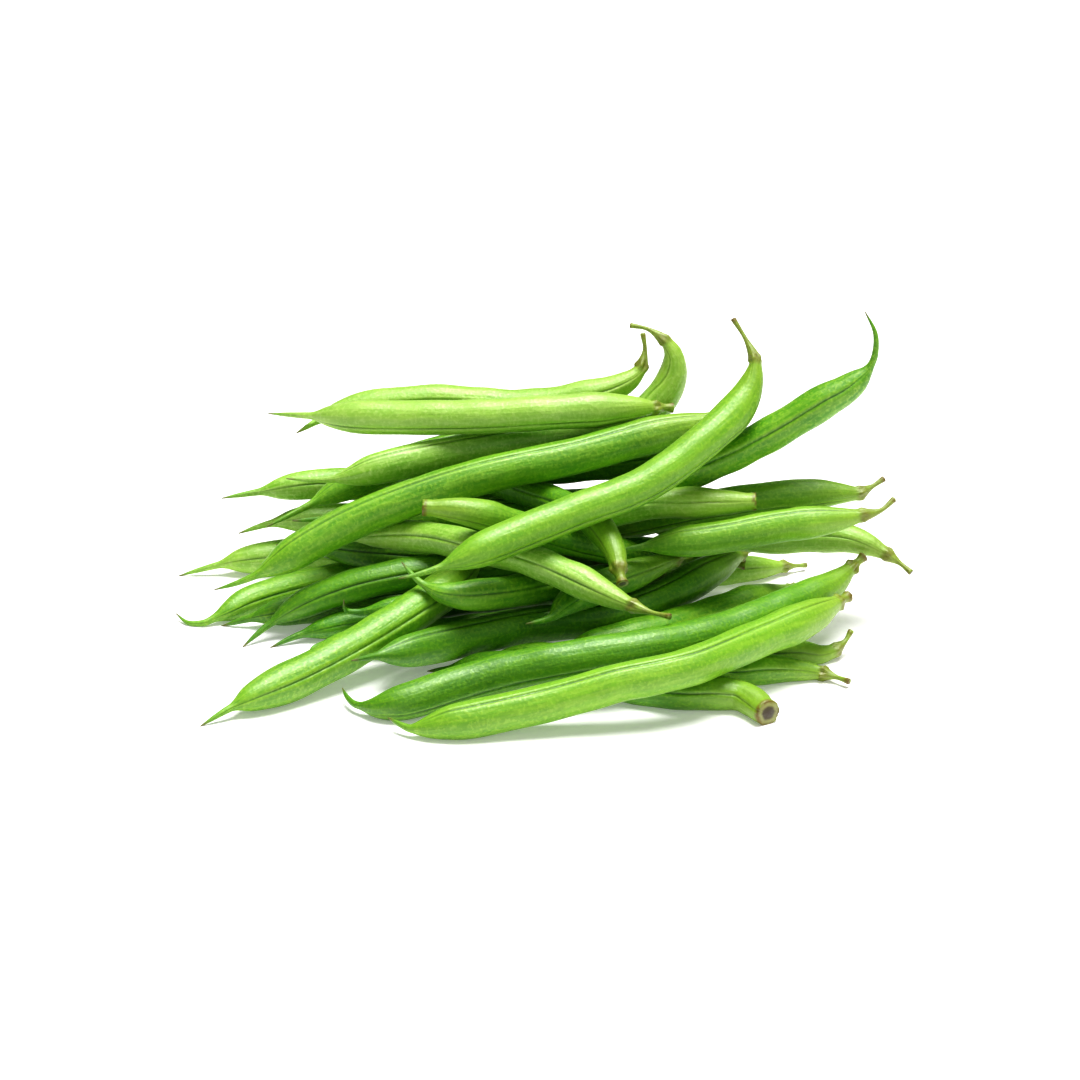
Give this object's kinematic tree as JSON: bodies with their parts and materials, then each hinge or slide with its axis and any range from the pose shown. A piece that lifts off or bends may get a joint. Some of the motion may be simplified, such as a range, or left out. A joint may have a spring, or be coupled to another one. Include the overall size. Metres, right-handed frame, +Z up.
{
  "type": "green bean bundle",
  "caption": "Loose pile of fresh green beans, crossing each other, with curled beaks, tapered necks and cut or broken stalk ends, lying on a level surface.",
  "frame": {"origin": "middle of the pile's box, on the surface that it lies on", "axes": "+X to the right along the beans, +Y away from the viewer, +Z up"},
  "size_m": [0.178, 0.1094, 0.0735],
  "materials": {
    "green_pod": "fresh green pod skin with a soft waxy gloss, darker along its seams",
    "pale_green_pod": "paler yellow-green pod skin with a soft waxy gloss",
    "deep_green_pod": "deeper green pod skin with a soft waxy gloss"
  },
  "bodies": {
    "root": {"bean_back_left_floor": "pale_green_pod", "bean_curled_tail": "green_pod", "bean_under_long": "deep_green_pod", "bean_dark_tail": "deep_green_pod", "bean_looped_tail": "green_pod", "bean_back_right_floor": "pale_green_pod", "bean_right_floor": "green_pod", "bean_front_right_stem": "deep_green_pod", "bean_low_right_stem": "green_pod", "bean_low_right_hook": "green_pod", "bean_front_left": "green_pod", "bean_front_middle": "deep_green_pod", "bean_long_right": "deep_green_pod", "bean_frontmost": "green_pod", "bean_under_mid_left": "deep_green_pod", "bean_hooked_middle": "deep_green_pod", "bean_dark_inner_left": "deep_green_pod", "bean_back_left_second": "pale_green_pod", "bean_front_tucked": "green_pod", "bean_small_hook": "green_pod", "bean_dark_inner_right": "deep_green_pod", "bean_back_left_third": "pale_green_pod", "bean_right_middle": "green_pod", "bean_right_drooping": "pale_green_pod", "bean_second_left": "green_pod", "bean_front_crossing_low": "pale_green_pod", "bean_right_upper": "green_pod", "bean_thin_stem_right": "green_pod", "bean_steep_stem": "deep_green_pod", "bean_cut_stem_right": "pale_green_pod", "bean_upper_left": "green_pod", "bean_right_prop": "green_pod", "bean_rising_right": "green_pod", "bean_long_upper_left": "green_pod", "bean_foreshortened": "pale_green_pod", "bean_top_back": "pale_green_pod", "bean_top_left": "pale_green_pod", "bean_long_crossing": "green_pod", "bean_bent_stem_left": "green_pod", "bean_front_crossing": "green_pod"}
  },
  "joints": []
}
